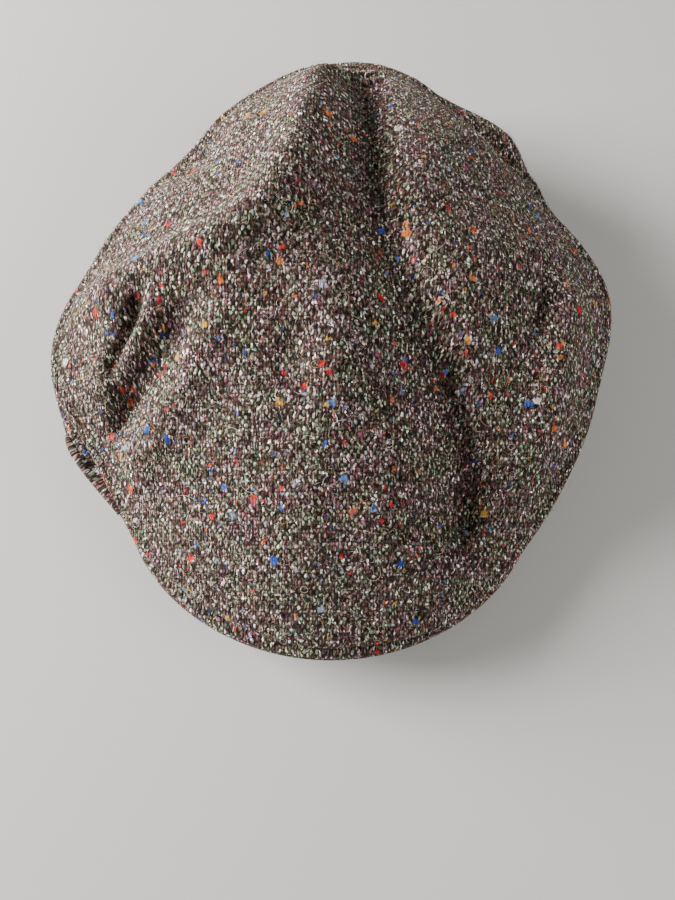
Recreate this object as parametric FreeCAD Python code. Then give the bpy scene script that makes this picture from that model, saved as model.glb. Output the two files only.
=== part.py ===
"""A flat cap in tweed, built the way a cap maker cuts and sews it.

The wearer's forehead faces -Y, +X is the wearer's left and +Z is up.  The cap stands on the lower
edge of its sweatband, at z = 0, with the origin midway along and across the whole cap.
The soft crown is a top panel, two side panels and a facing that turns under along the front.
The stiff peak sits in front of the head opening.  It hinges in the head seam and a hidden press
stud holds the front of the crown down on it.  All sizes are in millimetres.
"""
import FreeCAD, Part
import bisect
import math
import os
from FreeCAD import Placement, Rotation, Vector

os.makedirs("parts", exist_ok=True)

# Whole cap
overall_length = 292.0      # front of the peak to the back of the crown
crown_width = 268.0         # across the widest part of the crown
crown_height = 93.0         # highest point of the crown above the rim
widest_y = 12.0             # where the crown is widest
crest_y = 28.0              # where the crown is highest
side_edge = 39.0            # seam of the top panel above the table, at the sides
back_rise = 0.06            # and its rise towards the back

# Head opening, inside the sweatband: a 59 cm hat size
head_width = 168.0
head_length = 205.0
back_overhang = 22.0        # crown behind the head seam

# Cloth and trimmings
tweed = 2.4                 # top panel with its fused backing
side_tweed = 2.0
facing_tweed = 1.6
wadding = 1.2
lining = 0.7
sweatband_leather = 1.2
sweatband_height = 28.0
tape_thickness = 0.5
tape_height = 10.0
binding_thickness = 0.8
binding_height = 6.0
binding_lift = 0.3          # the binding stays just off the table
layer_gap = 0.2             # between two pieces sewn to each other
join_gap = 0.3              # between two panels that meet along a seam

# Peak
peak_radius = 112.0         # plan radius of its outer edge
peak_lip = 5.5              # peak that shows in front of the crown
arch_radius = 520.0         # the peak is bent across to this radius
arch_tilt = 3.0             # degrees that it lifts towards the front
root_height = 18.0          # underside of the peak above the table, at the head seam
under_cover = 1.4
board = 1.5
peak_wadding = 0.8
top_cover = 1.5
turning = 4.0               # cloth turned round the edge of the board
tip_y = -52.0               # back ends of the peak
tip_corner = 12.0
root_gap = 2.4              # room between peak and head seam
closed_gap = 0.5            # between the closed crown and the peak

# Press stud
stud_set_back = 24.0        # from the front of the peak
socket_radius = 5.0
socket_height = 1.8
ball_radius = 1.8
ball_height = 1.5
ball_flange_radius = 4.2
ball_flange = 0.8
stud_fit = 0.25             # ball in socket, all round
rivet_radius = 3.6
rivet_thickness = 0.7

# Label and stitches
label_width = 62.0
label_length = 38.0
label_thickness = 0.3
label_corner = 3.0
stitch_count = 96
stitch_length = 3.4
stitch_thickness = 0.45

# Worked out from the sizes above
seam_build = 5.8            # sweatband, lining, tape and shell, from the opening outwards
front_y = -overall_length / 2
back_y = overall_length / 2
head_y = back_y - back_overhang - seam_build - head_length / 2
root_y = head_y - head_length / 2 - seam_build - root_gap
peak_centre_y = front_y + peak_radius
peak_thickness = under_cover + board + peak_wadding + top_cover
facing_level = peak_thickness + closed_gap
temple_angle = math.radians(-30.0)   # where facing and side panel meet, seen from the head centre
side_bulge = 5.0            # the side panels belly out
lining_bulge = 1.0
facing_hollow = 1.2         # the facing arches up off the peak
tall = 200.0
tilt = math.radians(arch_tilt)
arch_normal = Vector(0, math.sin(tilt), math.cos(tilt))
rim_root_y = head_y - head_length / 2
rim_tilt = math.atan2(root_height - (head_width / 2) ** 2 / (2 * arch_radius), head_length / 2)


def save(name, shape):
    """Write one piece, and stop if it isn't sound."""
    solids = shape.Solids
    if not solids or not all(s.isValid() and s.Volume > 0 for s in solids):
        raise RuntimeError(f"{name} is not a sound solid")
    whole = solids[0] if len(solids) == 1 else Part.makeCompound(solids)
    whole.exportStep(f"parts/{name}.step")
    box = whole.BoundBox
    print(f"{name}: {len(solids)} solid(s), {whole.Volume:.0f} mm3, "
          f"x {box.XMin:.1f} {box.XMax:.1f}  y {box.YMin:.1f} {box.YMax:.1f}  z {box.ZMin:.1f} {box.ZMax:.1f}")


def smoothstep(value, low, high):
    t = min(1.0, max(0.0, (value - low) / (high - low)))
    return t * t * (3 - 2 * t)


# ---------------------------------------------------------------- plan outlines

def crown_outline(inset=0.0):
    """Closed plan curve of the crown: half an ellipse in front, a more pointed half behind."""
    half_width = crown_width / 2 - inset
    half_front = widest_y - front_y - peak_lip - inset
    half_back = back_y - widest_y - inset
    point = 2 / 1.55
    right = []
    for degrees in (-90, -70, -50, -30, -12):
        a = math.radians(degrees)
        right.append(Vector(half_width * math.cos(a), widest_y + half_front * math.sin(a), 0))
    for degrees in (10, 30, 50, 70, 90):
        a = math.radians(degrees)
        right.append(Vector(half_width * abs(math.cos(a)) ** point,
                            widest_y + half_back * math.sin(a) ** point, 0))
    right[0].x = right[-1].x = 0
    left = [Vector(-p.x, p.y, 0) for p in reversed(right[1:-1])]
    curve = Part.BSplineCurve()
    curve.interpolate(Points=right + left, PeriodicFlag=True)
    return curve


def prism(curve):
    """Upright solid over a closed plan curve, from below the cap to above it."""
    face = Part.Face(Part.Wire(curve.toShape()))
    face.translate(Vector(0, 0, -tall / 2))
    return face.extrude(Vector(0, 0, 2 * tall))


def head_oval(build):
    """Upright solid on the head opening, grown outwards by build."""
    curve = Part.Ellipse(Vector(0, head_y, 0), head_length / 2 + build, head_width / 2 + build)
    edge = curve.toShape()
    edge.rotate(Vector(0, head_y, 0), Vector(0, 0, 1), 90)
    face = Part.Face(Part.Wire(edge))
    face.translate(Vector(0, 0, -tall / 2))
    return face.extrude(Vector(0, 0, 2 * tall))


def head_point(angle, build):
    """Point of the grown head oval in a direction from the head centre."""
    c, s = math.cos(angle), math.sin(angle)
    reach = 1 / math.hypot(c / (head_width / 2 + build), s / (head_length / 2 + build))
    return reach * c, head_y + reach * s


# ---------------------------------------------------------------- peak arch

def arch(level, start_y=root_y, angle=tilt):
    """Long solid cylinder, rising forwards at that angle, whose top passes over start_y at root height."""
    normal = Vector(0, math.sin(angle), math.cos(angle))
    direction = Vector(0, -math.cos(angle), math.sin(angle))
    centre = Vector(0, start_y, root_height) - normal * arch_radius
    return Part.makeCylinder(arch_radius + level, 6 * tall, centre - direction * 3 * tall, direction)


def arch_height(x, y, level=0.0, start_y=root_y, angle=tilt):
    """Height of that cylinder over a plan point."""
    above_axis = math.sqrt((arch_radius + level) ** 2 - x * x)
    return root_height + (start_y - y) * math.tan(angle) + (above_axis - arch_radius) / math.cos(angle)


def arched_layer(blank, low, high):
    return blank.common(arch(high)).cut(arch(low))


def rim_height(x, y):
    """Lower edge of the head opening: lifted over the peak's root, on the table from the sides back."""
    return max(0.0, arch_height(x, y, 0, rim_root_y, rim_tilt))


# ---------------------------------------------------------------- crown surface

outline = crown_outline()
SAMPLES = 720
_polar = []
for _i in range(SAMPLES):
    _p = outline.value(outline.FirstParameter
                       + (outline.LastParameter - outline.FirstParameter) * _i / SAMPLES)
    _polar.append((math.atan2(_p.y - crest_y, _p.x), math.hypot(_p.x, _p.y - crest_y)))
_polar.sort()
_polar = ([(_polar[-1][0] - 2 * math.pi, _polar[-1][1])] + _polar
          + [(_polar[0][0] + 2 * math.pi, _polar[0][1])])
_angles = [a for a, _ in _polar]


def outline_reach(angle):
    """Distance from the crest to the crown's outline in a direction."""
    i = min(len(_angles) - 1, max(1, bisect.bisect(_angles, angle)))
    (a0, r0), (a1, r1) = _polar[i - 1], _polar[i]
    return r0 + (r1 - r0) * (angle - a0) / (a1 - a0)


def seam_height(x, y):
    """Top of the crown's edge: on the peak in front, and higher round the sides and back."""
    over_peak = arch_height(x, y, facing_level + facing_tweed) + tweed + join_gap
    beside = side_edge + back_rise * y
    return over_peak + (beside - over_peak) * smoothstep(y, front_y + 10, widest_y)


def crown_surface_height(x, y):
    """The crown: straighter down to the front, fuller at the sides and back."""
    dx, dy = x, y - crest_y
    if abs(dx) + abs(dy) < 1e-9:
        return crown_height
    angle = math.atan2(dy, dx)
    reach = outline_reach(angle)
    share = math.hypot(dx, dy) / reach
    edge = seam_height(reach * math.cos(angle), crest_y + reach * math.sin(angle))
    front = (1 - math.sin(angle)) / 2
    bend = 1.2 - 0.8 * front
    fall = (math.hypot(share, bend) - bend) / (math.hypot(1, bend) - bend)
    fall += (1 - front) * 0.35 * (share ** 4 - share ** 2)
    return crown_height - (crown_height - edge) * fall


def surface(rows):
    spline = Part.BSplineSurface()
    spline.interpolate(rows)
    return spline


reach_x, reach_y = crown_width / 2 + 4, overall_length / 2 + 4
across, along = 26, 28
crown_face = surface([[Vector(x, y, crown_surface_height(x, y))
                       for y in [reach_y * (2 * j / along - 1) for j in range(along + 1)]]
                      for x in [reach_x * (2 * i / across - 1) for i in range(across + 1)]]).toShape()


def crown_layer(blank, low, high):
    """Sheet that follows the crown between two depths below its surface."""
    sheet = crown_face.copy()
    sheet.translate(Vector(0, 0, -low))
    return sheet.extrude(Vector(0, 0, low - high)).common(blank)


def slab(outer, inner):
    """Solid between two grids of points that run alike."""
    a, b = surface(outer), surface(inner)
    faces = [a.toShape(), b.toShape()]
    u0, u1, v0, v1 = a.bounds()
    for take, at in (("uIso", u0), ("uIso", u1), ("vIso", v0), ("vIso", v1)):
        faces.append(Part.makeRuledSurface(getattr(a, take)(at).toShape(), getattr(b, take)(at).toShape()))
    shell = Part.Shell(faces)
    shell.sewShape()
    solid = Part.Solid(shell)
    if solid.Volume < 0:
        solid.reverse()
    return solid


def above(depth):
    """Everything above the crown surface lowered by depth."""
    lowered = crown_face.copy()
    lowered.translate(Vector(0, 0, -depth))
    return lowered.extrude(Vector(0, 0, tall))


def hanging_panel(start, stop, top, foot, bulge, low, high, drop=(-0.06, 1.0)):
    """Panel from an upper edge to a lower edge, between two directions from the head centre.

    top and foot give the point of each edge for a direction.  The panel lies between two
    distances, low and high, inside the sheet that joins them and bulges outwards."""
    outer, inner = [], []
    steps, rows = 30, 8
    for i in range(steps + 1):
        angle = start + (stop - start) * i / steps
        upper, lower = top(angle), foot(angle)
        out = Vector(math.cos(angle), math.sin(angle), 0)
        down = (lower - upper).normalize()
        inwards = (out * down.z - Vector(0, 0, 1) * down.dot(out)).normalize()
        rows_at = []
        for j in range(rows + 1):
            s = drop[0] + (drop[1] - drop[0]) * j / rows
            p = upper + (lower - upper) * s - inwards * bulge * 4 * s * (1 - s)
            rows_at.append((p + inwards * low, p + inwards * high))
        outer.append([pair[0] for pair in rows_at])
        inner.append([pair[1] for pair in rows_at])
    return slab(outer, inner)


def edge_point(inset, depth):
    """Function of a direction from the head centre: a point below the crown's inset outline."""
    def at(angle):
        c, s = math.cos(angle), math.sin(angle)
        low, high = 40.0, 260.0
        for _ in range(40):
            mid = (low + high) / 2
            x, y = mid * c, head_y + mid * s
            away = math.atan2(y - crest_y, x)
            if math.hypot(x, y - crest_y) < outline_reach(away) - inset:
                low = mid
            else:
                high = mid
        x, y = low * c, head_y + low * s
        return Vector(x, y, crown_surface_height(x, y) - depth)
    return at


def seam_point(build, level):
    """Function of a direction from the head centre: a point above the peak, at the head seam."""
    def at(angle):
        x, y = head_point(angle, build)
        return Vector(x, y, arch_height(x, y, level))
    return at


def foot_point(build, lift):
    """Function of a direction from the head centre: a point of the head seam."""
    def at(angle):
        x, y = head_point(angle, build)
        return Vector(x, y, rim_height(x, y) + lift)
    return at


# ---------------------------------------------------------------- crown pieces

under_tweed = tweed + 0.1
lining_depth = under_tweed + wadding + layer_gap
lining_inset = 14.0
wadding_inset = 10.0

save("top_panel", crown_layer(prism(outline), 0, tweed))
save("crown_wadding", crown_layer(prism(crown_outline(wadding_inset)), under_tweed, under_tweed + wadding))
save("lining_top", crown_layer(prism(crown_outline(lining_inset)), lining_depth, lining_depth + lining))

label_blank = Part.makeBox(label_width, label_length, tall,
                           Vector(-label_width / 2, crest_y - label_length / 2, 0))
label_blank = label_blank.makeFillet(label_corner, [e for e in label_blank.Edges
                                                    if abs(e.Vertexes[0].Z - e.Vertexes[1].Z) > 1])
label_depth = lining_depth + lining + 0.1
save("lining_label", crown_layer(label_blank, label_depth, label_depth + label_thickness))

back = math.radians(90)
gap_angle = join_gap / (head_length / 2)
shell_depth = tweed + join_gap
shell_edge = edge_point(0, shell_depth)
shell_foot = foot_point(seam_build, 1.0)
lining_cut = lining_depth + lining + join_gap
lining_edge = edge_point(lining_inset, lining_cut)
lining_foot = foot_point(2.4, 15.0)
left = {
    "side_panel": hanging_panel(temple_angle + gap_angle, back - gap_angle / 2, shell_edge, shell_foot,
                                side_bulge, 0, side_tweed).cut(above(shell_depth)),
    "side_wadding": hanging_panel(temple_angle + 3 * gap_angle, back - gap_angle / 2, shell_edge,
                                  shell_foot, side_bulge, side_tweed + layer_gap,
                                  side_tweed + layer_gap + wadding, (0.12, 0.7)),
    "side_lining": hanging_panel(-back + gap_angle / 2, back - gap_angle / 2, lining_edge, lining_foot,
                                 lining_bulge, 0, lining).cut(above(lining_cut)),
}
for name, panel in left.items():
    save(f"left_{name}", panel)
    save(f"right_{name}", panel.mirror(Vector(0, 0, 0), Vector(1, 0, 0)))

# The facing turns under the front of the crown and lies on the peak.
stud_y = front_y + stud_set_back
stud_base = Vector(0, stud_y, arch_height(0, stud_y))


def stud_cylinder(radius, low, high):
    """Round solid on the press stud's axis between two levels above the peak's underside."""
    return Part.makeCylinder(radius, high - low, stud_base + arch_normal * low, arch_normal)


facing = hanging_panel(-math.pi - temple_angle, temple_angle, shell_edge,
                       seam_point(seam_build, facing_level + 0.3), -facing_hollow, 0, facing_tweed)
save("front_facing", facing.cut(above(shell_depth)).cut(stud_cylinder(socket_radius, 0, tall)))

# ---------------------------------------------------------------- rim

def ring(inner_build, outer_build):
    return head_oval(outer_build).cut(head_oval(inner_build))


def rim_band(inner_build, outer_build, lift, height):
    """Oval band of even height whose lower edge follows the rim."""
    block = Part.makeBox(2 * tall, 2 * tall, height, Vector(-tall, -tall, lift))
    off_table = Part.makeBox(2 * tall, 2 * tall, tall, Vector(-tall, -tall, lift))
    raised = arch(lift + height, rim_root_y, rim_tilt).common(off_table)
    band = ring(inner_build, outer_build)
    return band.common(block).fuse(band.common(raised)).removeSplitter().cut(arch(lift, rim_root_y, rim_tilt))


save("sweatband", rim_band(0, sweatband_leather, 0, sweatband_height))
save("rim_binding", rim_band(-binding_thickness, -0.05, binding_lift, binding_height))
save("head_tape", rim_band(2.4, 2.4 + tape_thickness, 1.0, tape_height))

stitch_build = -binding_thickness - stitch_thickness / 2 - 0.05
stitches = []
for i in range(stitch_count):
    angle = 2 * math.pi * i / stitch_count
    x, y = head_point(angle, stitch_build)
    ahead, ahead_y = head_point(angle + 0.01, stitch_build)
    heading = math.degrees(math.atan2(ahead_y - y, ahead - x))
    stitch = Part.makeBox(stitch_length, stitch_thickness, stitch_thickness,
                          Vector(-stitch_length / 2, -stitch_thickness / 2, 0))
    stitch.Placement = Placement(Vector(x, y, rim_height(x, y) + binding_height - 1.6),
                                 Rotation(Vector(0, 0, 1), heading))
    stitches.append(stitch)
save("sweatband_stitching", Part.makeCompound(stitches))

# ---------------------------------------------------------------- peak

def peak_blank(inset=0.0):
    """Upright solid over the peak's crescent."""
    disc = Part.makeCylinder(peak_radius - inset, 2 * tall, Vector(0, peak_centre_y, -tall / 2))
    behind = Part.makeBox(2 * tall, 2 * tall, 4 * tall, Vector(-tall, tip_y - inset, -2 * tall))
    blank = disc.cut(behind)
    corners = [e for e in blank.Edges
               if abs(e.Vertexes[0].Z - e.Vertexes[-1].Z) > 1 and abs(e.Vertexes[0].Y - tip_y + inset) < 0.01]
    return blank.makeFillet(tip_corner, corners).cut(head_oval(seam_build + root_gap + inset))


board_level = under_cover
wadding_level = board_level + board
cover_level = wadding_level + peak_wadding
whole = peak_blank()
inner = peak_blank(turning)
save("peak_under_cover", arched_layer(whole, 0, under_cover))
save("peak_board", arched_layer(inner, board_level, wadding_level))
save("peak_wadding", arched_layer(inner, wadding_level, cover_level))
cover = arched_layer(whole, board_level, peak_thickness).cut(arched_layer(inner, board_level, cover_level))
save("peak_top_cover", cover.cut(stud_cylinder(ball_flange_radius, cover_level, tall)))

# ---------------------------------------------------------------- press stud

flange_top = peak_thickness
socket_low = flange_top + stud_fit
socket_high = socket_low + socket_height
bore = stud_cylinder(ball_radius + stud_fit, socket_low, flange_top + ball_height + stud_fit)
save("stud_socket", stud_cylinder(socket_radius, socket_low, socket_high).cut(bore))
save("socket_rivet", stud_cylinder(rivet_radius, socket_high, socket_high + rivet_thickness))
save("stud_ball", stud_cylinder(ball_flange_radius, flange_top - ball_flange, flange_top)
     .fuse(stud_cylinder(ball_radius, flange_top, flange_top + ball_height)))
save("ball_rivet", stud_cylinder(rivet_radius, cover_level, flange_top - ball_flange))
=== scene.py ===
"""The looks of a tweed flat cap, in metres: +Z up, the wearer faces -Y, +X is the wearer's left."""
import math
import bmesh
import bpy
import numpy as np
from mathutils import Matrix, Vector


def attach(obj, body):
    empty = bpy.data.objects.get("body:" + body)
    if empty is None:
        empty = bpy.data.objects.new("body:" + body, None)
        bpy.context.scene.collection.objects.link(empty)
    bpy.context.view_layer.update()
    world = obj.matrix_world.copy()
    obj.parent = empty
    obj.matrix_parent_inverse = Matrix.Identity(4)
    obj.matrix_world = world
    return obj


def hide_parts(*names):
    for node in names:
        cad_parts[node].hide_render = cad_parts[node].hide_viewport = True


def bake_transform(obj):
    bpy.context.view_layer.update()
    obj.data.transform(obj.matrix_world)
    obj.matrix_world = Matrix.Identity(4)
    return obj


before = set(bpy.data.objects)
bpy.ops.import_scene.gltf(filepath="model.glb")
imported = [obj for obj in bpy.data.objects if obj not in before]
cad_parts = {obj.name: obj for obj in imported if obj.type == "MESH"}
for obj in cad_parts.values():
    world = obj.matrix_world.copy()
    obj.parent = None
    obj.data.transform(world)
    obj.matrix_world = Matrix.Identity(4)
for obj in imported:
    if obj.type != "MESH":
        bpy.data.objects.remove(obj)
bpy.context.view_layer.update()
mm = 0.001

# ---------------------------------------------------------------- crown top
# One piece of hand-woven tweed, padded behind, that covers the whole top.  It is pulled forward
# and down onto the peak, sags into soft folds, and rolls under all round to the seam with the
# side panels.
crown_centre = np.array((0.0, 22 * mm))
crown_top_height = 93 * mm
tweed_thickness = 2.2 * mm
tight_roll, full_roll = 3.2 * mm, 5.2 * mm    # radius of the rolled edge, in front and behind
crown_edge = mm * np.array((
    (0, -142), (28, -139), (53, -131), (76, -114), (95, -91), (109, -69), (120, -44), (127, -18),
    (133, 6), (133, 27), (123, 48), (107, 68), (99, 87), (86, 112), (54, 134), (17, 150),
    (-18, 145), (-42, 132), (-61, 115), (-78, 93), (-95, 72), (-110, 50), (-121, 28), (-130, 8),
    (-133, -10), (-130, -28), (-120, -45), (-110, -61), (-100, -79), (-87, -100), (-67, -117),
    (-46, -130), (-23, -139)))


def closed_spline(points, per_span=12):
    """Smooth closed line through points."""
    around = []
    count = len(points)
    for i in range(count):
        a, b, c, d = (points[(i + k) % count] for k in (-1, 0, 1, 2))
        for t in np.arange(per_span) / per_span:
            around.append(0.5 * (2 * b + (c - a) * t + (2 * a - 5 * b + 4 * c - d) * t ** 2
                                 + (3 * b - a - 3 * c + d) * t ** 3))
    return np.array(around)


edge_line = closed_spline(crown_edge) - crown_centre
edge_angle = np.arctan2(edge_line[:, 1], edge_line[:, 0])
edge_order = np.argsort(edge_angle)


def crown_reach(angle):
    """Distance from the crown's centre to its edge in a direction."""
    return np.interp(angle, edge_angle[edge_order], np.hypot(*edge_line.T)[edge_order], period=2 * math.pi)


def ease(value, low, high):
    t = np.clip((value - low) / (high - low), 0, 1)
    return t * t * (3 - 2 * t)


root_y, root_height, peak_slope, peak_arch = -95 * mm, 18 * mm, math.tan(math.radians(3)), 520 * mm
peak_thickness = 5.2 * mm


def over_peak(x, y, level):
    """Height of a surface that far above the peak's underside."""
    return root_height + (root_y - y) * peak_slope + level - x * x / (2 * peak_arch)


def seam_height(x, y):
    """Top of the crown at its edge: on the peak in front, higher round the sides and back."""
    front = over_peak(x, y, peak_thickness + 5.2 * mm)
    side = 39 * mm + 0.06 * y
    return front + (side - front) * ease(y, -128 * mm, -15 * mm)


def crown_height(x, y):
    """Height of the crown before it sags into folds."""
    dx, dy = x - crown_centre[0], y - crown_centre[1]
    angle = np.arctan2(dy, dx)
    reach = crown_reach(angle)
    share = np.hypot(dx, dy) / reach
    edge = seam_height(reach * np.cos(angle), crown_centre[1] + reach * np.sin(angle))
    front = (1 - np.sin(angle)) / 2
    bend = 1.2 - 0.8 * front
    fall = (np.hypot(share, bend) - bend) / (np.hypot(1, bend) - bend)
    fall += (1 - front) * 0.35 * (share ** 4 - share ** 2)
    return crown_top_height - (crown_top_height - edge) * fall


def fold(x, y, path, width, height, lean=0.0, fade=0.35):
    """A soft ridge (or, with a height below zero, a valley) along a path in millimetres."""
    path = mm * np.array(path, float)
    steps = np.linspace(0, len(path) - 1, 60)
    line = np.stack([np.interp(steps, range(len(path)), path[:, k]) for k in (0, 1)], 1)
    for _ in range(30):
        line[1:-1] = (line[:-2] + 2 * line[1:-1] + line[2:]) / 4
    ahead = np.gradient(line, axis=0)
    away = np.stack([x[:, None] - line[None, :, 0], y[:, None] - line[None, :, 1]], 2)
    distance = np.hypot(away[..., 0], away[..., 1])
    near = distance.argmin(1)
    rows = np.arange(len(x))
    side = np.sign(ahead[near, 0] * away[rows, near, 1] - ahead[near, 1] * away[rows, near, 0])
    reach = width * mm * (1 + lean * side)
    along = near / 59
    strength = ease(along, 0, fade) * ease(1 - along, 0, fade) if fade else 1
    return height * mm * strength * np.exp(-(distance[rows, near] / reach) ** 2)


crown_folds = (
    # path, width, height, lean, fade: first the long ridge and the long valley beside it
    (((-4, 150), (-9, 116), (-15, 72), (-23, 47), (-36, 30), (-52, 21), (-72, 17), (-92, 10), (-122, -4)),
     14, 12.5, 0.12, 0.1),
    (((12, 152), (13, 120), (13, 85), (15, 56), (20, 32), (30, 6), (40, -13), (47, -30), (53, -47),
      (58, -66), (60, -86), (54, -108)), 15, -14, -0.3, 0.1),
    (((-34, 26), (-38, 8), (-41, -12), (-42, -34)), 20, 3, 0.0, 0.4),
    (((-56, 112), (-68, 88), (-78, 66)), 12, -6, 0.0, 0.35),
    (((-6, -4), (-12, -20), (-16, -36), (-17, -52)), 9, -2, -0.3, 0.4),
    # short creases and the rolls between them, on the wearer's right
    (((-78, 8), (-86, -8), (-94, -19), (-103, -30)), 3.6, -7, 0.0, 0.3),
    (((-50, 6), (-62, -7), (-74, -21), (-86, -35), (-98, -52)), 7, -4, 0.1, 0.45),
    (((-80, -24), (-88, -35), (-96, -46), (-102, -56)), 7, -7, 0.0, 0.45),
    (((-66, 8), (-82, -12), (-100, -26), (-120, -36)), 8, 5, 0.0, 0.3),
    (((-40, -2), (-54, -22), (-68, -42), (-86, -64), (-96, -82)), 11, 6, 0.0, 0.25),
    # a soft roll and a crease on the wearer's left
    (((108, 30), (107, 10), (104, -15), (97, -42), (88, -66), (76, -90)), 13, 10, 0.0, 0.25),
    (((98, 28), (93, 6), (85, -14)), 7, -6, 0.0, 0.4),
    (((40, 142), (60, 124), (80, 98), (100, 78)), 7, -9, 0.0, 0.2),
    (((44, -108), (20, -122), (-20, -124)), 8, -2, 0.0, 0.4),
)


def ripple(x, y, size, seed):
    """Slow uneven waves about one high and low, as cloth has."""
    total = np.zeros_like(x)
    draw = np.random.default_rng(seed)
    for _ in range(9):
        heading, phase = draw.uniform(0, math.pi), draw.uniform(0, 2 * math.pi)
        pitch = size * draw.uniform(0.6, 1.7)
        total += np.sin((x * math.cos(heading) + y * math.sin(heading)) * 2 * math.pi / pitch + phase)
    return total / 3


def sagged(x, y, share, keep=1.0):
    """How far the folds lift or lower the crown; they run out towards the sewn edge."""
    lift = sum(fold(x, y, *one) for one in crown_folds)
    lift += 0.5 * mm * ripple(x, y, 34 * mm, 3) + 0.18 * mm * ripple(x, y, 12 * mm, 5)
    return keep * lift * (1 - 0.75 * ease(share, 0.86, 1.0))


roll_turn = 1.9    # how far the cloth turns under at the crown's edge, in radians


def edge_roll(angle):
    return tight_roll + (full_roll - tight_roll) * ease(np.sin(angle), -0.75, 0.1)


def crown_polar(share, angle, inset=0.0, keep=1.0, roll=None):
    """Points of the crown by their share of the way out and their direction from its centre."""
    roll = edge_roll(angle) if roll is None else roll
    flat = crown_reach(angle) - inset - roll
    out = share * (flat + roll_turn * roll)
    past = np.clip((out - flat) / roll, 0, roll_turn)
    inner = np.minimum(out, flat) + 0.001 * mm
    x, y = inner * np.cos(angle), crown_centre[1] + inner * np.sin(angle)
    z = crown_height(x, y) + sagged(x, y, inner / crown_reach(angle), keep) - roll * (1 - np.cos(past))
    on_peak = over_peak(x, y, peak_thickness + 0.7 * mm) - 20 * mm * ease(y, -70 * mm, -40 * mm)
    radius = inner + roll * np.sin(past)
    return np.stack([radius * np.cos(angle), crown_centre[1] + radius * np.sin(angle),
                     np.maximum(z, on_peak)], 1)


def round_grid(a, b):
    """Turn a square grid, a and b from -1 to 1, into a round one: share of the way out, and direction."""
    u, v = a * np.sqrt(1 - b * b / 2), b * np.sqrt(1 - a * a / 2)
    return np.minimum(np.hypot(u, v), 1), np.arctan2(v, u)


def sheet_mesh(name, across, along, place, thickness, behind=0.0):
    """Make a sheet from a grid whose points place puts in position, with each one's place in the
    cloth in metres.  It lies that far behind the placed points, on the side away from the normals."""
    bm = bmesh.new()
    bmesh.ops.create_grid(bm, x_segments=across, y_segments=along, size=1)
    grid = np.array([v.co[:2] for v in bm.verts])
    points, cloth = place(grid[:, 0], grid[:, 1])
    layer = bm.verts.layers.float_vector.new("weave")
    for vert, point, where in zip(bm.verts, points, cloth):
        vert.co = point
        vert[layer] = (*where, 0)
    bmesh.ops.remove_doubles(bm, verts=bm.verts, dist=0.02 * mm)
    bm.normal_update()
    for vert, shift in [(v, v.normal * behind) for v in bm.verts]:
        vert.co -= shift
    bm.normal_update()
    back = bmesh.ops.extrude_face_region(bm, geom=bm.faces[:], use_keep_orig=True)
    for vert in (v for v in back["geom"] if isinstance(v, bmesh.types.BMVert)):
        vert.co -= vert.normal * thickness
    bmesh.ops.recalc_face_normals(bm, faces=bm.faces)
    return finished(name, bm)


def finished(name, bm):
    """Turn a finished bmesh into an object with smooth faces."""
    mesh = bpy.data.meshes.new(name)
    bm.to_mesh(mesh)
    bm.free()
    mesh.shade_smooth()
    piece = bpy.data.objects.new(name, mesh)
    bpy.context.scene.collection.objects.link(piece)
    return piece


def cloth_length(x, y):
    """How far a point is from the crown's centre along the cloth, across and along it."""
    steps = np.linspace(0, 1, 25)
    lengths = []
    for toward_x, toward_y in ((1, 0), (0, 1)):
        start_x = np.zeros_like(x) if toward_x else x
        start_y = np.full_like(y, crown_centre[1]) if toward_y else y
        rows = [(start_x + (x - start_x) * s, start_y + (y - start_y) * s) for s in steps]
        heights = np.array([crown_height(px, py) for px, py in rows])
        run = (x - start_x) + (y - start_y)
        lengths.append(np.sign(run) * np.hypot(np.diff(heights, axis=0), run / 24).sum(0))
    return np.stack(lengths, 1)


def crown_place(a, b):
    """The crown's outside, with its cloth measured from the middle out and on round the roll."""
    share, angle = round_grid(a, b)
    away = np.stack([np.cos(angle), np.sin(angle)], 1)
    roll = edge_roll(angle)
    flat = crown_reach(angle) - roll
    out = share * (flat + roll_turn * roll)
    plan = crown_centre + away * np.minimum(out, flat)[:, None]
    return crown_polar(share, angle), \
        cloth_length(plan[:, 0], plan[:, 1]) + away * np.maximum(out - flat, 0)[:, None]


crown_top = sheet_mesh("crown_top", 190, 190, crown_place, tweed_thickness)


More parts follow.
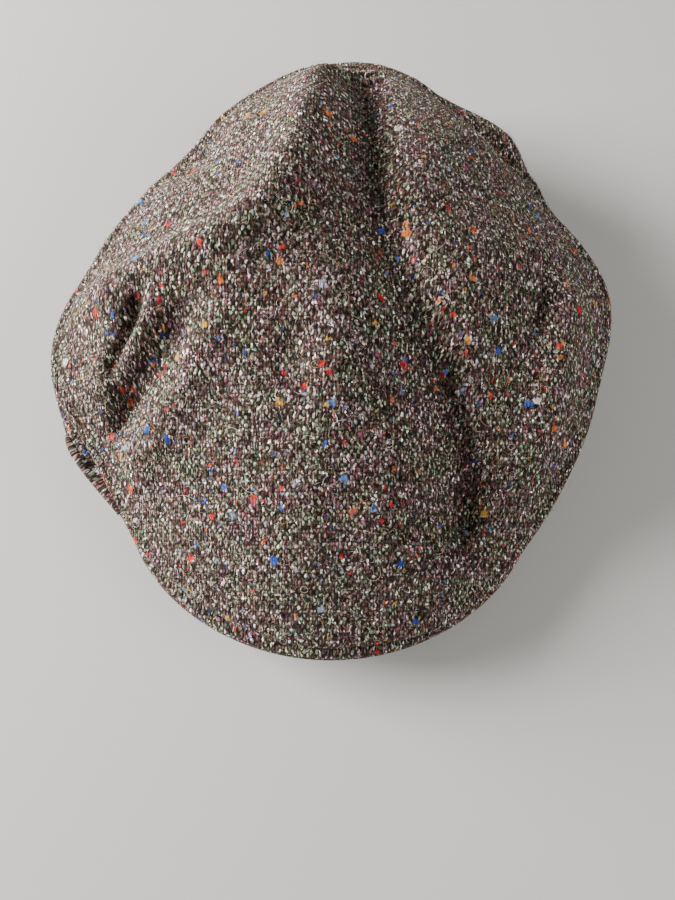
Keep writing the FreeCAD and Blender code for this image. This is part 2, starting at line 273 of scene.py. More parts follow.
class Dye:
    """One socket of a finish's nodes.  Sums on it add Math nodes; node adds any other."""
    tree = None

    def __init__(self, socket):
        self.socket = socket

    @classmethod
    def start(cls, name):
        """Begin a finish and return it with its Principled shader."""
        finish = bpy.data.materials.new(name)
        finish.use_nodes = True
        cls.tree = finish.node_tree
        return finish, cls.tree.nodes["Principled BSDF"]

    @classmethod
    def node(cls, kind, settings=None, sockets=None, out=0):
        made = cls.tree.nodes.new(kind)
        for key, value in (settings or {}).items():
            if key == "stops":
                ramp = made.color_ramp
                for place, colour in value[2:]:
                    ramp.elements.new(place)
                for element, (place, colour) in zip(ramp.elements, sorted(value)):
                    element.position, element.color = place, (*colour, 1)
            elif key == "interpolation":
                made.color_ramp.interpolation = value
            else:
                setattr(made, key, value)
        for key, value in (sockets or {}).items():
            cls.put(made.inputs[key], value)
        return cls(made.outputs[out])

    @classmethod
    def put(cls, target, value):
        if isinstance(value, Dye):
            cls.tree.links.new(value.socket, target)
        else:
            target.default_value = value

    @classmethod
    def math(cls, operation, *values):
        return cls.node("ShaderNodeMath", {"operation": operation}, dict(enumerate(values)))

    def __add__(self, other):
        return Dye.math("ADD", self, other)

    __radd__ = __add__

    def __sub__(self, other):
        return Dye.math("SUBTRACT", self, other)

    def __rsub__(self, other):
        return Dye.math("SUBTRACT", other, self)

    def __mul__(self, other):
        return Dye.math("MULTIPLY", self, other)

    __rmul__ = __mul__

    def __truediv__(self, other):
        return Dye.math("DIVIDE", self, other)

    def __gt__(self, other):
        return Dye.math("GREATER_THAN", self, other)

    def __pow__(self, other):
        return Dye.math("POWER", self, other)


def shade(red, green, blue):
    """A colour as a dye card gives it, 0 to 255."""
    return tuple(((c / 255 + 0.055) / 1.055) ** 2.4 if c > 10 else c / 3295 for c in (red, green, blue))


def mixed(factor, one, other, blend="MIX"):
    one, other = ((*c, 1) if isinstance(c, tuple) else c for c in (one, other))
    return Dye.node("ShaderNodeMix", {"data_type": "RGBA", "blend_type": blend},
                    {0: factor, 6: one, 7: other}, out=2)


def vector(operation, *values):
    return Dye.node("ShaderNodeVectorMath", {"operation": operation}, dict(enumerate(values)))


def parts(value):
    split = Dye.node("ShaderNodeSeparateXYZ", None, {0: value})
    return [Dye(socket) for socket in split.socket.node.outputs]


def joined(*values):
    return Dye.node("ShaderNodeCombineXYZ", None, dict(enumerate(values)))


def noise(where, scale, detail=2.0, out=0, roughness=0.5):
    return Dye.node("ShaderNodeTexNoise", None,
                    {"Vector": where, "Scale": scale, "Detail": detail, "Roughness": roughness}, out=out)


def chance(*values):
    """A random number for each whole-number place."""
    return Dye.node("ShaderNodeTexWhiteNoise", {"noise_dimensions": "3D"}, {0: joined(*values)})


def raise_surface(surface, height, distance, strength=1.0):
    """Let a finish stand up by a height, which counts in steps of distance."""
    Dye.put(surface.inputs["Normal"], Dye.node(
        "ShaderNodeBump", None, {"Strength": strength, "Distance": distance, "Height": height}))


def card(value, *colours):
    """Pick one of several colours, evenly, by a value from 0 to 1."""
    stops = [(i / len(colours), shade(*c)) for i, c in enumerate(colours)]
    return Dye.node("ShaderNodeValToRGB", {"stops": stops, "interpolation": "CONSTANT"}, {0: value})


warp_pitch, weft_pitch = 1.32 * mm, 1.8 * mm


def tweed(name):
    """Plain-woven tweed: mottled woollen yarns of many colours, with coloured neps in them."""
    finish, surface = Dye.start(name)
    cloth = Dye.node("ShaderNodeAttribute", {"attribute_name": "weave"}, out=1)
    wander = vector("SUBTRACT", noise(cloth, 190, 3, out=1), (0.5, 0.5, 0.5))
    shiver = vector("SUBTRACT", noise(cloth, 640, 2, out=1), (0.5, 0.5, 0.5))
    cloth = vector("MULTIPLY_ADD", wander, (2.4 * mm, 3.0 * mm, 0), cloth)
    cloth = vector("MULTIPLY_ADD", shiver, (1.3 * mm, 1.1 * mm, 0), cloth)
    across, along, _ = parts(vector("MULTIPLY", cloth, (1 / warp_pitch, 1 / weft_pitch, 1)))
    column, row = Dye.math("FLOOR", across), Dye.math("FLOOR", along)
    from_column, from_row = across - column - 0.5, along - row - 0.5
    over = 1 - 2 * Dye.math("FLOORED_MODULO", column + row, 2.0)

    # fibres: flecks drawn out along the warp, at several sizes; the thinnest streaks are pale fibres and
    # painted glints
    x, y, _ = parts(cloth)
    lean = (noise(cloth, 420, 1) - 0.5) * 1.6
    sliver_and_glint_streaks = noise(joined(x * 1300 + lean * 2, y * 330, 12.0), 1.0, 2)
    fleck, kink, tuft = (noise(joined(x * wide + lean, y * tall, seed), 1.0, 3, roughness=0.6)
                         for wide, tall, seed in ((760, 290, 0.0), (560, 330, 31.0), (800, 360, 57.0)))

    warp = over * Dye.math("COSINE", from_row * math.pi) * 0.5 \
        + Dye.math("SQRT", Dye.math("MAXIMUM", 1 - from_column * from_column * 5.6, 0.0)) * 0.6
    weft = Dye.math("SQRT", Dye.math("MAXIMUM", 1 - from_row * from_row * 4.2, 0.0)) * 0.6 \
        - over * Dye.math("COSINE", from_column * math.pi) * 0.35
    on_warp = Dye.node("ShaderNodeMapRange", None, {0: warp - weft + (kink - 0.5) * 2.8, 1: -0.02, 2: 0.22})
    height = Dye.math("MAXIMUM", warp, weft)

    slub = Dye.math("FLOOR", along * 0.42 + chance(column, 7.0, 0.0) * 9)
    warp_colour = card(chance(column, slub, 1.0) * 0.45 + chance(column, row, 2.0) * 0.55,
                       (48, 38, 30), (86, 78, 64), (98, 92, 78), (76, 50, 50), (118, 120, 102),
                       (112, 80, 78), (64, 54, 42), (84, 102, 84), (132, 130, 112), (92, 66, 62),
                       (162, 164, 148), (58, 48, 54), (104, 96, 112))
    slub = Dye.math("FLOOR", across * 0.31 + chance(row, 3.0, 0.0) * 9)
    weft_colour = card(chance(row, slub, 4.0) * 0.6 + chance(column, row, 5.0) * 0.4,
                       (46, 32, 26), (34, 27, 20), (76, 50, 48), (58, 46, 34), (54, 38, 46),
                       (82, 60, 52), (40, 36, 26), (76, 72, 56), (58, 42, 36))
    colour = mixed(on_warp, weft_colour, warp_colour)
    tufts = card(kink * 2.2 - 0.6, (170, 116, 110), (122, 138, 122), (238, 232, 218), (128, 96, 84),
                 (128, 128, 142), (206, 198, 182), (150, 130, 104))
    colour = mixed(Dye.node("ShaderNodeMapRange", None, {0: tuft, 1: 0.585, 2: 0.63}), colour, tufts)
    # pale slivers of fibre, made brighter than the yarn so that they also stand in for glints on the wool:
    # part real colour, part painted highlight
    pale_fibre_and_glint = Dye.node("ShaderNodeMapRange", None, {0: sliver_and_glint_streaks, 1: 0.61, 2: 0.67})
    sliver_and_glint_colours = card(fleck * 2.6 - 0.8, (150, 164, 146), (214, 208, 192), (196, 150, 142),
                   (214, 222, 206), (184, 160, 128), (240, 236, 224))
    colour = mixed(pale_fibre_and_glint * 0.9, colour, sliver_and_glint_colours)
    light = joined(*((fleck * 2.0) ** power for power in (4.9, 5.2, 5.7)))
    colour = mixed(1.0, colour, light, "MULTIPLY")
    cast = Dye.node("ShaderNodeMapRange", None, {0: noise(cloth, 70, 2), 1: 0.35, 2: 0.65})
    colour = mixed(1.0, colour, mixed(cast, (1.12, 0.93, 1.1), (0.9, 1.04, 0.9)), "MULTIPLY")
    shadow = Dye.node("ShaderNodeMapRange", None, {0: height, 1: 0.25, 2: 0.95, 3: 0.1, 4: 1.2})
    colour = mixed(1.0, colour, shadow, "MULTIPLY")

    # neps: small coloured knots of wool, in three sizes
    for scale, share, size, seed in ((95, 0.5, 0.15, 0.0), (150, 0.42, 0.14, 40.0), (240, 0.4, 0.17, 90.0)):
        torn = joined((tuft - 0.5) * 5 * mm, (kink - 0.5) * 6 * mm, 0.0)
        where = vector("ADD", torn, vector("ADD", cloth, (seed * mm, seed * mm, seed * 3 * mm)))
        spot = Dye.node("ShaderNodeTexVoronoi", {"voronoi_dimensions": "3D"},
                        {"Vector": where, "Scale": scale})
        pick, kind, _ = parts(Dye(spot.socket.node.outputs[1]))
        near = Dye.node("ShaderNodeMapRange", None,
                        {0: spot, 1: size * 1.25, 2: size * 0.85}) * (pick > 1 - share)
        nep = card(kind, (206, 44, 36), (46, 84, 178), (214, 104, 50), (226, 220, 208), (178, 38, 50),
                   (92, 130, 186), (202, 150, 60), (40, 70, 150), (206, 70, 62), (58, 92, 72),
                   (160, 70, 110), (226, 130, 70), (196, 52, 44), (150, 160, 176))
        colour = mixed(near, colour, mixed(1.0, nep, (fleck * 1.9) ** 2.2, "MULTIPLY"))
        height = height + near * 0.35
    Dye.put(surface.inputs["Base Color"], colour)
    surface.inputs["Roughness"].default_value = 0.92
    surface.inputs["Specular IOR Level"].default_value = 0.12
    surface.inputs["Sheen Weight"].default_value = 0.12
    surface.inputs["Sheen Roughness"].default_value = 0.5
    surface.inputs["Sheen Tint"].default_value = (*shade(210, 196, 180), 1)
    raise_surface(surface, height + fleck * 1.2, 0.5 * mm, 0.9)
    return finish


tweed_cloth = tweed("brown_tweed")
crown_top.data.materials.append(tweed_cloth)
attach(crown_top, "crown")
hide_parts("top_panel")

# ---------------------------------------------------------------- side panels
# Two padded tweed panels from the temples to the seam at the back.  They hang from the crown's
# edge, belly out, and run in to the head seam.
head_centre, head_half_width, head_half_length = np.array((0.0, 15.7 * mm)), 84 * mm, 102.5 * mm
seam_build = 5.8 * mm
rim_lift_slope = (root_height - head_half_width ** 2 / (2 * peak_arch)) / head_half_length


def head_oval(angle, build):
    """Point of the head opening, grown by build, in a direction from its centre."""
    c, s = np.cos(angle), np.sin(angle)
    reach = 1 / np.hypot(c / (head_half_width + build), s / (head_half_length + build))
    return reach * c, head_centre[1] + reach * s


def rim_height(x, y):
    """Lower edge of the head opening: on the table from the sides back, lifted over the peak."""
    lift = root_height - x * x / (2 * peak_arch) - (y - head_centre[1] + head_half_length) * rim_lift_slope
    return 0.5 * (lift + np.sqrt(lift * lift + (1.5 * mm) ** 2)) - 0.2 * mm


def around(angle, middle, spread):
    """1 in one direction, falling to 0 on both sides of it."""
    return np.exp(-(np.angle(np.exp(1j * (angle - math.radians(middle)))) / spread) ** 2)


temple_bulge, temple_lip, temple_slot = 10 * mm, 2 * mm, 3 * mm


def shell_point(angle, drop, tuck=1.2 * mm):
    """Point of the shell under the crown's edge: drop is 0 at that edge and 1 at the head seam."""
    top = crown_polar(np.ones_like(angle), angle, inset=tuck)
    top[:, 2] += 0.8 * mm
    x, y = head_oval(angle, seam_build)
    in_front = ease(-y, 42 * mm, 56 * mm)
    hem = rim_height(x, y) + 1 * mm
    foot = np.stack([x, y, hem + (over_peak(x, y, peak_thickness + 1.2 * mm) - hem) * in_front], 1)
    belly = (8 + 3 * ease(np.sin(angle), -0.5, 0.6)) * (1 - ease(-np.sin(angle), 0.45, 0.72))
    belly = mm * (belly + 3 * around(angle, 38, 0.25))
    fall = np.sin(math.pi * np.clip(drop, 0, 1) ** 0.75)
    at_temple = around(angle, 216, 0.27)    # where the panel pushes out past the crown
    swell = belly * fall + temple_bulge * at_temple * np.sin(math.pi * np.clip(drop, 0, 1) ** 0.45)
    swell = swell + 0.8 * mm * ripple(angle * 120 * mm, drop * 50 * mm, 30 * mm, 11) * fall
    out = np.stack([np.cos(angle), np.sin(angle), -0.55 * (1 - ease(-np.sin(angle), 0.3, 0.6))], 1)
    points = top + (foot - top) * drop[:, None] + out * swell[:, None]
    lip, slot = (np.exp(-((drop - middle) / spread) ** 2)
                 for middle, spread in ((0.3, 0.14), (0.06, 0.06)))
    points[:, 2] += at_temple * (temple_lip * lip - temple_slot * slot)
    lowest = over_peak(points[:, 0], points[:, 1], peak_thickness + 0.8 * mm)
    lowest = lowest * (1 - ease(points[:, 1], -60 * mm, -44 * mm)) + 0.9 * mm
    points[:, 2] = 0.5 * (points[:, 2] + lowest + np.hypot(points[:, 2] - lowest, 1 * mm))
    return points


shell_per_radian = 128 * mm    # cloth along the panels


def shell_place(start, stop, low=0.0, high=1.0):
    """A panel of the shell; its cloth is measured along it from the crown's edge down."""
    def place(a, b):
        angle = start + (stop - start) * (a + 1) / 2
        drop = high + (low - high) * (b + 1) / 2
        line = np.array([shell_point(angle, drop * part) for part in np.linspace(0, 1, 9)])
        run = np.linalg.norm(np.diff(line, axis=0), axis=2).sum(0)
        return line[-1], np.stack([angle * shell_per_radian, -run], 1)
    return place


left_temple, back, right_temple = math.radians(-31), math.radians(90), math.radians(227)
seam_half = 0.0012    # half of the seam between two panels, in radians
for name, start, stop in (("side_left", left_temple, back), ("side_right", back, right_temple)):
    panel = sheet_mesh(name, 180, 44, shell_place(start + seam_half, stop - seam_half), 2 * mm)
    panel.data.materials.append(tweed_cloth)
    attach(panel, "crown")
    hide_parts(name.split("_")[1] + "_side_panel")

# ---------------------------------------------------------------- facing
# A crescent of tweed that turns under the front of the crown and lies on the peak.
facing = sheet_mesh("facing", 110, 24,
                    shell_place(right_temple + seam_half, 2 * math.pi + left_temple - seam_half), 1.4 * mm)
facing.data.materials.append(tweed_cloth)
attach(facing, "crown")
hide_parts("front_facing")

# ---------------------------------------------------------------- padding
# White needled wadding behind the tweed of the top and the sides.  It stops short of the bulge at
# the wearer's right temple.
wadding, wadding_surface = Dye.start("white_wadding")
place = Dye.node("ShaderNodeTexCoord", out=3)
fluff = noise(place, 900, 4)
Dye.put(wadding_surface.inputs["Base Color"], mixed(fluff, shade(196, 190, 178), shade(232, 228, 220)))
raise_surface(wadding_surface, fluff, 1 * mm)
wadding_surface.inputs["Roughness"].default_value = 0.95


def crown_layer_place(inset, roll):
    def place(a, b):
        share, angle = round_grid(a, b)
        points = crown_polar(share, angle, inset=inset, roll=roll)
        return points, points[:, :2]
    return place


for name, replaced, grid, place, thickness in (
        ("crown_padding", "crown_wadding", (90, 90), crown_layer_place(9 * mm, 1 * mm), 1.0 * mm),
        ("side_padding_left", "left_side_wadding", (70, 14),
         shell_place(left_temple + 0.03, back - 0.01, 0.14, 0.72), 1.0 * mm),
        ("side_padding_right", "right_side_wadding", (70, 14),
         shell_place(back + 0.01, right_temple - 0.7, 0.14, 0.72), 1.0 * mm)):
    pad = sheet_mesh(name, *grid, place, thickness, behind=2.4 * mm)
    pad.data.materials.append(wadding)
    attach(pad, "crown")
    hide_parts(replaced)

# ---------------------------------------------------------------- lining
# Brown satin, quilted in diamonds over the top and plain round the sides, with a small blank
# woven label sewn to its middle.
satin, satin_surface = Dye.start("brown_satin")
cloth = Dye.node("ShaderNodeAttribute", {"attribute_name": "weave"}, out=1)
x, y, _ = parts(cloth)
rib = noise(joined(x * 9000, y * 700, 0.0), 1.0, 2)
tone = noise(cloth, 60, 3)
Dye.put(satin_surface.inputs["Base Color"],
        mixed(tone * 0.6 + rib * 0.4, shade(38, 28, 24), shade(70, 54, 46)))
Dye.put(satin_surface.inputs["Roughness"], 0.28 + rib * 0.2)
satin_surface.inputs["Sheen Weight"].default_value = 0.3
satin_surface.inputs["Anisotropic"].default_value = 0.5
raise_surface(satin_surface, rib, 0.1 * mm, 0.4)
lining_inset, lining_drop, lining_keep = 15 * mm, 10.5 * mm, 0.5
quilt = 26 * mm


def quilted(x, y):
    """Height of the puffs between quilting lines, from 0 on a line to 1 in the middle."""
    one, other = (x + y) / quilt, (x - y) / quilt
    return np.abs(np.sin(math.pi * one) * np.sin(math.pi * other)) ** 0.5


def lining_top_place(a, b):
    share, angle = round_grid(a, b)
    points = crown_polar(share, angle, inset=lining_inset, keep=lining_keep, roll=1 * mm)
    points[:, 2] -= lining_drop + 1.6 * mm * quilted(points[:, 0], points[:, 1]) * (1 - share ** 8)
    return points, points[:, :2]


lining_top = sheet_mesh("lining_top_quilted", 120, 120, lining_top_place, 0.6 * mm)


def lining_side_place(start, stop):
    def place(a, b):
        angle = start + (stop - start) * (a + 1) / 2
        drop = (1 - b) / 2
        top = crown_polar(np.ones_like(angle), angle, inset=lining_inset, keep=lining_keep, roll=1 * mm)
        top[:, 2] -= lining_drop - 0.2 * mm
        x, y = head_oval(angle, 2.4 * mm)
        foot = np.stack([x, y, rim_height(x, y) + 15 * mm], 1)
        gather = 0.7 * mm * np.sin(angle * 60 + 3 * np.sin(angle * 7)) * np.sin(math.pi * drop)
        out = np.stack([np.cos(angle), np.sin(angle), 0 * angle], 1)
        points = top + (foot - top) * drop[:, None] + out * gather[:, None]
        return points, np.stack([angle * 110 * mm, drop * 40 * mm], 1)
    return place


lining_gap = 0.004    # half of the gap between the two side linings, in radians
lining_left, lining_right = (
    sheet_mesh(name, 150, 16, lining_side_place(start + lining_gap, stop - lining_gap), 0.6 * mm)
    for name, start, stop in (("lining_left", -back, back), ("lining_right", back, 3 * back)))
for piece, replaced in ((lining_top, "lining_top"), (lining_left, "left_side_lining"),
                        (lining_right, "right_side_lining")):
    piece.data.materials.append(satin)
    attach(piece, "crown")
    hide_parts(replaced)

label_half = np.array((31 * mm, 19 * mm))


def label_place(a, b):
    corner = 1 - 0.04 * np.clip(a * a * b * b, 0, 1)
    x, y = a * label_half[0] * corner, 28 * mm + b * label_half[1] * corner
    dx, dy = x, y - crown_centre[1]
    angle = np.arctan2(dy, dx)
    roll = 1 * mm
    reach = crown_reach(angle) - lining_inset
    points = crown_polar(np.hypot(dx, dy) / (reach + 0.9 * roll), angle, inset=lining_inset,
                         keep=lining_keep, roll=roll)
    points[:, 2] -= lining_drop + 2.3 * mm
    return points, np.stack([x, y], 1)


label_finish, label_surface = Dye.start("cream_damask")
cloth = Dye.node("ShaderNodeAttribute", {"attribute_name": "weave"}, out=1)
x, y, _ = parts(cloth)
edge_x = Dye.math("ABSOLUTE", x) / label_half[0]
edge_y = Dye.math("ABSOLUTE", y - 28 * mm) / label_half[1]
border = Dye.math("MAXIMUM", edge_x, edge_y * 0.97)
stitch_line = (border > 0.9) * (0.925 - border > 0.0) * (Dye.math("SINE", (x + y) * 2600) > -0.2)
damask = noise(joined(x * 5000, y * 1500, 0.0), 1.0, 2)
Dye.put(label_surface.inputs["Base Color"],
        mixed(stitch_line, mixed(damask, shade(188, 172, 138), shade(214, 200, 168)), shade(84, 56, 36)))
raise_surface(label_surface, damask + stitch_line, 0.1 * mm, 0.5)
label_surface.inputs["Roughness"].default_value = 0.55
label = sheet_mesh("blank_label", 40, 26, label_place, 0.3 * mm)
label.data.materials.append(label_finish)
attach(label, "crown")
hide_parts("lining_label")


def with_the_peak(piece):
    """Bake the piece's placing into its mesh."""
    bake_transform(piece)


rim_per_radian = 94 * mm    # cloth along the head opening


def band_place(build, low, high, lean=0.0, wave=0.0):
    """A band that stands on the rim from low to high, leans in and waves along its upper edge."""
    def place(a, b):
        angle = math.pi * a
        up = (b + 1) / 2
        x, y = head_oval(angle, build - lean * up ** 1.5)
        z = rim_height(x, y) + low + (high - low) * up + wave * up ** 2 * np.sin(angle * 5 + 1)
        return np.stack([x, y, z], 1), np.stack([angle * rim_per_radian, z], 1)
    return place


leather, leather_surface = Dye.start("brown_sheepskin")
place = Dye.node("ShaderNodeTexCoord", out=3)
grain = Dye.node("ShaderNodeTexVoronoi", {"feature": "DISTANCE_TO_EDGE"}, {"Vector": place, "Scale": 1500})
crease = noise(place, 240, 4)
wear = noise(place, 45, 3)
Dye.put(leather_surface.inputs["Base Color"],
        mixed(wear * 0.7 + crease * 0.3, shade(58, 34, 22), shade(118, 76, 48)))
Dye.put(leather_surface.inputs["Roughness"], 0.36 + wear * 0.3)
raise_surface(leather_surface, Dye.math("MINIMUM", grain * 4, 0.3) + crease * 0.8, 0.25 * mm, 0.5)

band_stand = band_place(seam_build - 4.6 * mm, 0.35 * mm, 28 * mm, lean=1.5 * mm, wave=0.5 * mm)
band = sheet_mesh("leather_band", 260, 22, band_stand, 1.1 * mm)
band.data.materials.append(leather)
ribbon, ribbon_surface = Dye.start("ribbed_ribbon")
cloth = Dye.node("ShaderNodeAttribute", {"attribute_name": "weave"}, out=1)
x, y, _ = parts(cloth)
rib_relief_and_groove_shade = Dye.math("SINE", x * (2 * math.pi / (0.7 * mm))) * 0.5 + 0.5
# the colour is darker in the grooves between the ribs: painted shade
Dye.put(ribbon_surface.inputs["Base Color"], mixed(rib_relief_and_groove_shade, shade(24, 18, 16), shade(58, 44, 36)))
raise_surface(ribbon_surface, rib_relief_and_groove_shade, 0.2 * mm)
ribbon_surface.inputs["Roughness"].default_value = 0.6
ribbon_width, ribbon_inside, ribbon_bend = 10 * mm, 5 * mm, 0.95 * mm


def binding_place(a, b):
    """The ribbon runs down inside the band, turns round its lower edge and ends a little up outside."""
    angle = math.pi * a
    run = (b + 1) / 2 * ribbon_width
    turn = np.clip((run - ribbon_inside) / (math.pi * ribbon_bend), 0, 1) * math.pi
    build = seam_build - 5.15 * mm - ribbon_bend * np.cos(turn)
    z = ribbon_bend + np.clip(ribbon_inside - run, 0, None) \
        + np.clip(run - ribbon_inside - math.pi * ribbon_bend, 0, None) - ribbon_bend * np.sin(turn)
    x, y = head_oval(angle, build)
    return np.stack([x, y, rim_height(x, y) + z + 0.1 * mm], 1), np.stack([angle * rim_per_radian, run], 1)


binding = sheet_mesh("ribbon_binding", 260, 20, binding_place, 0.3 * mm)
binding.data.materials.append(ribbon)
tape = sheet_mesh("cotton_tape", 200, 6, band_place(3.2 * mm, 1.5 * mm, 11 * mm), 0.4 * mm)
tape.data.materials.append(ribbon)

thread, thread_surface = Dye.start("sewing_thread")
place = Dye.node("ShaderNodeTexCoord", out=3)
ply = Dye.node("ShaderNodeTexWave", {"wave_type": "BANDS"}, {"Vector": place, "Scale": 1600})
Dye.put(thread_surface.inputs["Base Color"], mixed(ply, shade(88, 66, 48), shade(136, 108, 80)))
thread_surface.inputs["Roughness"].default_value = 0.6
stitch_count, stitch_length, stitch_width = 96, 3.4 * mm, 0.55 * mm
stitch_build = seam_build - 6.2 * mm
stitch_size = Matrix.Diagonal((stitch_length, stitch_width, stitch_width, 1))
bm = bmesh.new()
for i in range(stitch_count):
    angle = 2 * math.pi * (i + 0.5) / stitch_count
    x, y = head_oval(angle, stitch_build)
    next_x, next_y = head_oval(angle + 0.01, stitch_build)
    turn = Matrix.Rotation(math.atan2(next_y - y, next_x - x), 4, "Z")
    place = Matrix.Translation((x, y, rim_height(x, y) + 4.6 * mm)) @ turn
    bmesh.ops.create_icosphere(bm, subdivisions=1, radius=0.5, matrix=place @ stitch_size)
stitches = finished("band_stitches", bm)
stitches.data.materials.append(thread)
for piece, replaced, slot in ((band, "sweatband", "band_leather"), (binding, "rim_binding", "binding"),
                              (tape, "head_tape", "tape"), (stitches, "sweatband_stitching", "thread")):
    with_the_peak(piece)
    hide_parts(replaced)

# ---------------------------------------------------------------- peak
# A moulded board between two tweed covers, with thin wadding on top.  The covers are turned in
# against each other round the outer edge, and their root is sewn into the head seam.
peak_radius, peak_centre = 112 * mm, -34 * mm
peak_spread = math.radians(56)


def peak_plan(a, b, inset=0.0, root=8.2 * mm):
    """Plan point of the peak: a runs from tip to tip, b from root to outer edge, each from -1 to 1."""
    angle = -math.pi / 2 + peak_spread * a * (1 - inset / (60 * mm))
    c, s = np.cos(angle), np.sin(angle)
    gap = peak_centre - head_centre[1]
    across = gap * s + np.sqrt((peak_radius - inset) ** 2 - (gap * c) ** 2)
    rx, ry = head_oval(angle, root + inset)
    inner = np.hypot(rx, ry - head_centre[1])
    width = (across - inner) * np.sqrt(1 - np.abs(a) ** 7)
    reach = inner + width * (b + 1) / 2
    return reach * c, head_centre[1] + reach * s, width * (1 - b) / 2


def peak_place(level, turned=0.0, inset=0.0, root=8.2 * mm, up=True):
    """The visible side of one layer of the peak; turned is how far its edge rolls in."""
    def place(a, b):
        x, y, from_edge = peak_plan(a if up else -a, b, inset, root)
        middle = peak_thickness / 2
        past = np.clip(1 - from_edge / turned, 0, 1) if turned else np.zeros_like(a)
        height = level + (middle - level) * (1 - np.sqrt(1 - past * past))
        z = over_peak(x, y, height)
        return np.stack([x, y, z], 1), np.stack([x, y + (z if up else -z)], 1)
    return place


board_finish, board_surface = Dye.start("moulded_board")
place = Dye.node("ShaderNodeTexCoord", out=3)
pebble = noise(place, 700, 3)
Dye.put(board_surface.inputs["Base Color"], mixed(pebble, shade(120, 120, 122), shade(146, 146, 148)))
raise_surface(board_surface, pebble, 0.1 * mm)
board_surface.inputs["Roughness"].default_value = 0.45
peak_upper = peak_place(peak_thickness, 3 * mm, root=4 * mm)
peak_lower = peak_place(0, 2.4 * mm, root=4 * mm, up=False)
for name, replaced, slot, finish, grid, place, thickness in (
        ("peak_top_tweed", "peak_top_cover", "tweed", tweed_cloth, (230, 56), peak_upper, 1.4 * mm),
        ("peak_under_tweed", "peak_under_cover", "tweed", tweed_cloth, (230, 56), peak_lower, 1.2 * mm),
        ("peak_stiffener", "peak_board", "board", board_finish, (90, 12),
         peak_place(2.9 * mm, inset=4 * mm), 1.4 * mm),
        ("peak_padding", "peak_wadding", "wadding", wadding, (90, 12),
         peak_place(3.65 * mm, inset=4 * mm), 0.7 * mm)):
    layer = sheet_mesh(name, *grid, place, thickness)
    layer.data.materials.append(finish)
    with_the_peak(layer)
    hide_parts(replaced)

# ---------------------------------------------------------------- press stud
# Antiqued brass: the ball half on the peak snaps into the socket half on the facing, each held
# by a small rivet.
brass, brass_surface = Dye.start("antiqued_brass")
place = Dye.node("ShaderNodeTexCoord", out=3)
tarnish = noise(place, 420, 4)
Dye.put(brass_surface.inputs["Base Color"], mixed(tarnish, shade(92, 66, 34), shade(178, 140, 84)))
Dye.put(brass_surface.inputs["Roughness"], 0.28 + tarnish * 0.25)
brass_surface.inputs["Metallic"].default_value = 1
for node in ("stud_socket", "socket_rivet", "stud_ball", "ball_rivet"):
    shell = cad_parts[node]
    shell.data.materials.clear()
    shell.data.materials.append(brass)

# ---------------------------------------------------------------- loose wool
# Carded wool never lies flat: short fibres stand off the cloth everywhere, and a few long pale
# ones curl on top of it.
wool, wool_surface = Dye.start("loose_wool")
spot_x, spot_y, spot_z = parts(Dye.node("ShaderNodeTexCoord", out=3))
lock = chance(*(Dye.math("FLOOR", part * 130) for part in (spot_x, spot_y, spot_z)))
Dye.put(wool_surface.inputs["Base Color"],
        card(lock, (206, 192, 170), (120, 104, 90), (168, 154, 132), (88, 66, 56), (224, 214, 198),
             (170, 128, 92), (190, 168, 156), (206, 150, 96)))
wool_surface.inputs["Roughness"].default_value = 0.7
wool_surface.inputs["Sheen Weight"].default_value = 0.3


clear_of_table = 0.4 * mm


def grow_wool(name, beds, length, curl, width, steps, lift, draw):
    """Grow thin curved fibres on placed sheets; beds gives each sheet with its number of fibres."""
    strands = bpy.data.curves.new(name, "CURVE")
    strands.dimensions, strands.bevel_depth, strands.bevel_resolution = "3D", width, 0
    strands.use_fill_caps = True
    step = 0.004    # between the points that show which way the sheet faces
    for place, count in beds:
        a, b = draw.uniform(-0.985, 0.985, count), draw.uniform(-0.985, 0.985, count)
        base, east, north = (place(a + i * step, b + j * step)[0] for i, j in ((0, 0), (1, 0), (0, 1)))
        east, north = east - base, north - base
        normal = np.cross(east, north)
        normal /= np.linalg.norm(normal, axis=1)[:, None] + 1e-12
        east /= np.linalg.norm(east, axis=1)[:, None] + 1e-12
        north = np.cross(normal, east)
        heading, bend = draw.uniform(0, 2 * math.pi, count), draw.uniform(-curl, curl, count)
        size, climb = length * draw.uniform(0.5, 1.6, count), draw.uniform(0.25, 1, count) * lift
        path = [base - normal * 0.3 * mm]
        for _ in range(steps):
            way = east * np.cos(heading)[:, None] + north * np.sin(heading)[:, None]
            path.append(path[-1] + (way + normal * climb[:, None]) * (size / steps)[:, None])
            heading = heading + bend * (1 + draw.uniform(-0.6, 0.6, count)) / steps
            climb = climb * 0.6
        path = np.stack(path, 1)
        path[:, :, 2] = np.maximum(path[:, :, 2], clear_of_table)
        taper = np.linspace(1, 0.4, steps + 1)
        for line in path:
            spline = strands.splines.new("POLY")
            spline.points.add(steps)
            spline.points.foreach_set("co", np.hstack([line, np.ones((steps + 1, 1))]).ravel())
            spline.points.foreach_set("radius", taper)
    holder = bpy.data.objects.new(name, strands)
    mesh = bpy.data.meshes.new_from_object(holder)
    bpy.data.objects.remove(holder)
    mesh.materials.clear()
    piece = bpy.data.objects.new(name, mesh)
    bpy.context.scene.collection.objects.link(piece)
    piece.data.materials.append(wool)
    return piece


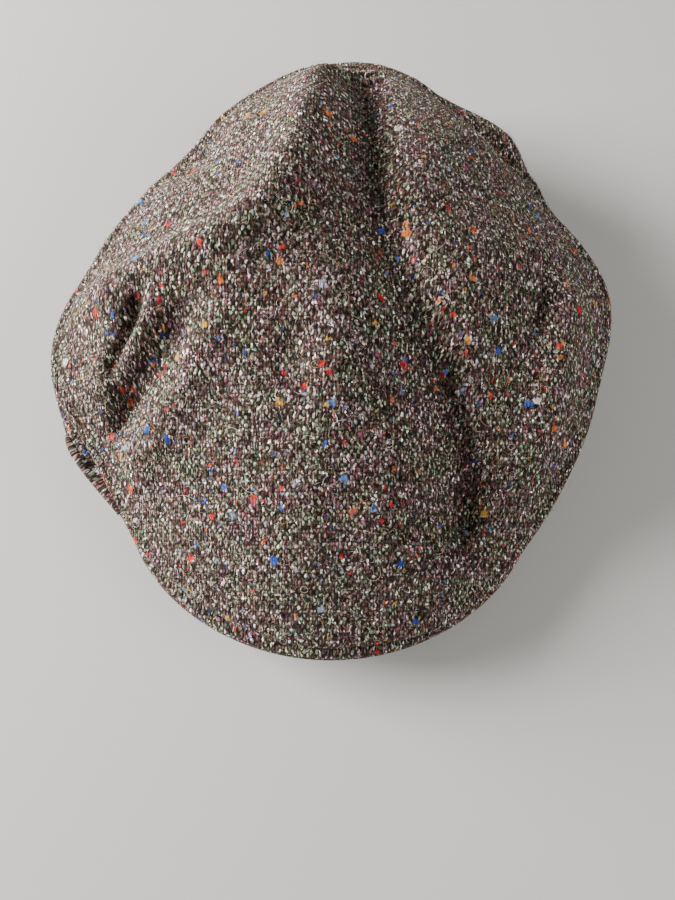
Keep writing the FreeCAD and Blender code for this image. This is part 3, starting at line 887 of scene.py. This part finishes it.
draw = np.random.default_rng(21)
shell_beds = [shell_place(left_temple, back), shell_place(back, right_temple)]
short_wool = {"curl": 2.5, "width": 0.06 * mm, "steps": 3, "lift": 0.9, "draw": draw}
long_wool = {"length": 8 * mm, "curl": 10, "steps": 13, "lift": 0.25, "draw": draw}
for piece in (
        grow_wool("crown_short_wool", [(crown_place, 5400)], length=2.2 * mm, **short_wool),
        grow_wool("crown_long_wool", [(crown_place, 900)], width=0.1 * mm, **long_wool),
        grow_wool("side_short_wool", [(bed, 1500) for bed in shell_beds], length=2.2 * mm, **short_wool),
        grow_wool("side_long_wool", [(bed, 130) for bed in shell_beds], width=0.085 * mm, **long_wool)):
    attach(piece, "crown")
peak_beds = [(peak_upper, 650), (peak_lower, 650)]
with_the_peak(grow_wool("peak_wool", peak_beds, length=2 * mm, **short_wool))

# ---------------------------------------------------------------- floor, light and camera
bm = bmesh.new()
bmesh.ops.create_grid(bm, x_segments=1, y_segments=1, size=3)
floor = finished("floor", bm)
floor_finish, floor_surface = Dye.start("pale_floor")
floor_surface.inputs["Base Color"].default_value = (0.62, 0.61, 0.59, 1)
floor_surface.inputs["Roughness"].default_value = 0.9
floor.data.materials.append(floor_finish)

world = bpy.data.worlds.new("soft_room")
bpy.context.scene.world = world
world.use_nodes = True
world.node_tree.nodes["Background"].inputs[0].default_value = (0.92, 0.88, 0.83, 1)
world.node_tree.nodes["Background"].inputs[1].default_value = 0.26


def soft_light(name, place, size, power, colour=(1, 1, 1)):
    lamp = bpy.data.lights.new(name, "AREA")
    lamp.size, lamp.energy, lamp.color = size, power, colour
    light = bpy.data.objects.new(name, lamp)
    light.location = place
    light.rotation_euler = (Vector((0, 0, 0.05)) - Vector(place)).to_track_quat("-Z", "Y").to_euler()
    bpy.context.scene.collection.objects.link(light)


soft_light("window", (-1.35, 0.3, 0.5), 0.8, 87, (1.0, 0.98, 0.96))
soft_light("room", (1.2, -0.35, 0.6), 1.0, 13)

lens = bpy.data.cameras.new("camera")
lens.lens, lens.sensor_fit, lens.sensor_width, lens.sensor_height = 27, "VERTICAL", 36, 36
camera = bpy.data.objects.new("camera", lens)
camera.location = (0, -0.1327, 0.3364)
ahead = Vector((0.0095, 0.2531, -0.9674))
camera.matrix_world = Matrix.Translation(camera.location) @ (
    ahead.to_track_quat("-Z", "Y").to_matrix().to_4x4() @ Matrix.Rotation(math.radians(3.2), 4, "Z"))
bpy.context.scene.collection.objects.link(camera)
bpy.context.scene.camera = camera
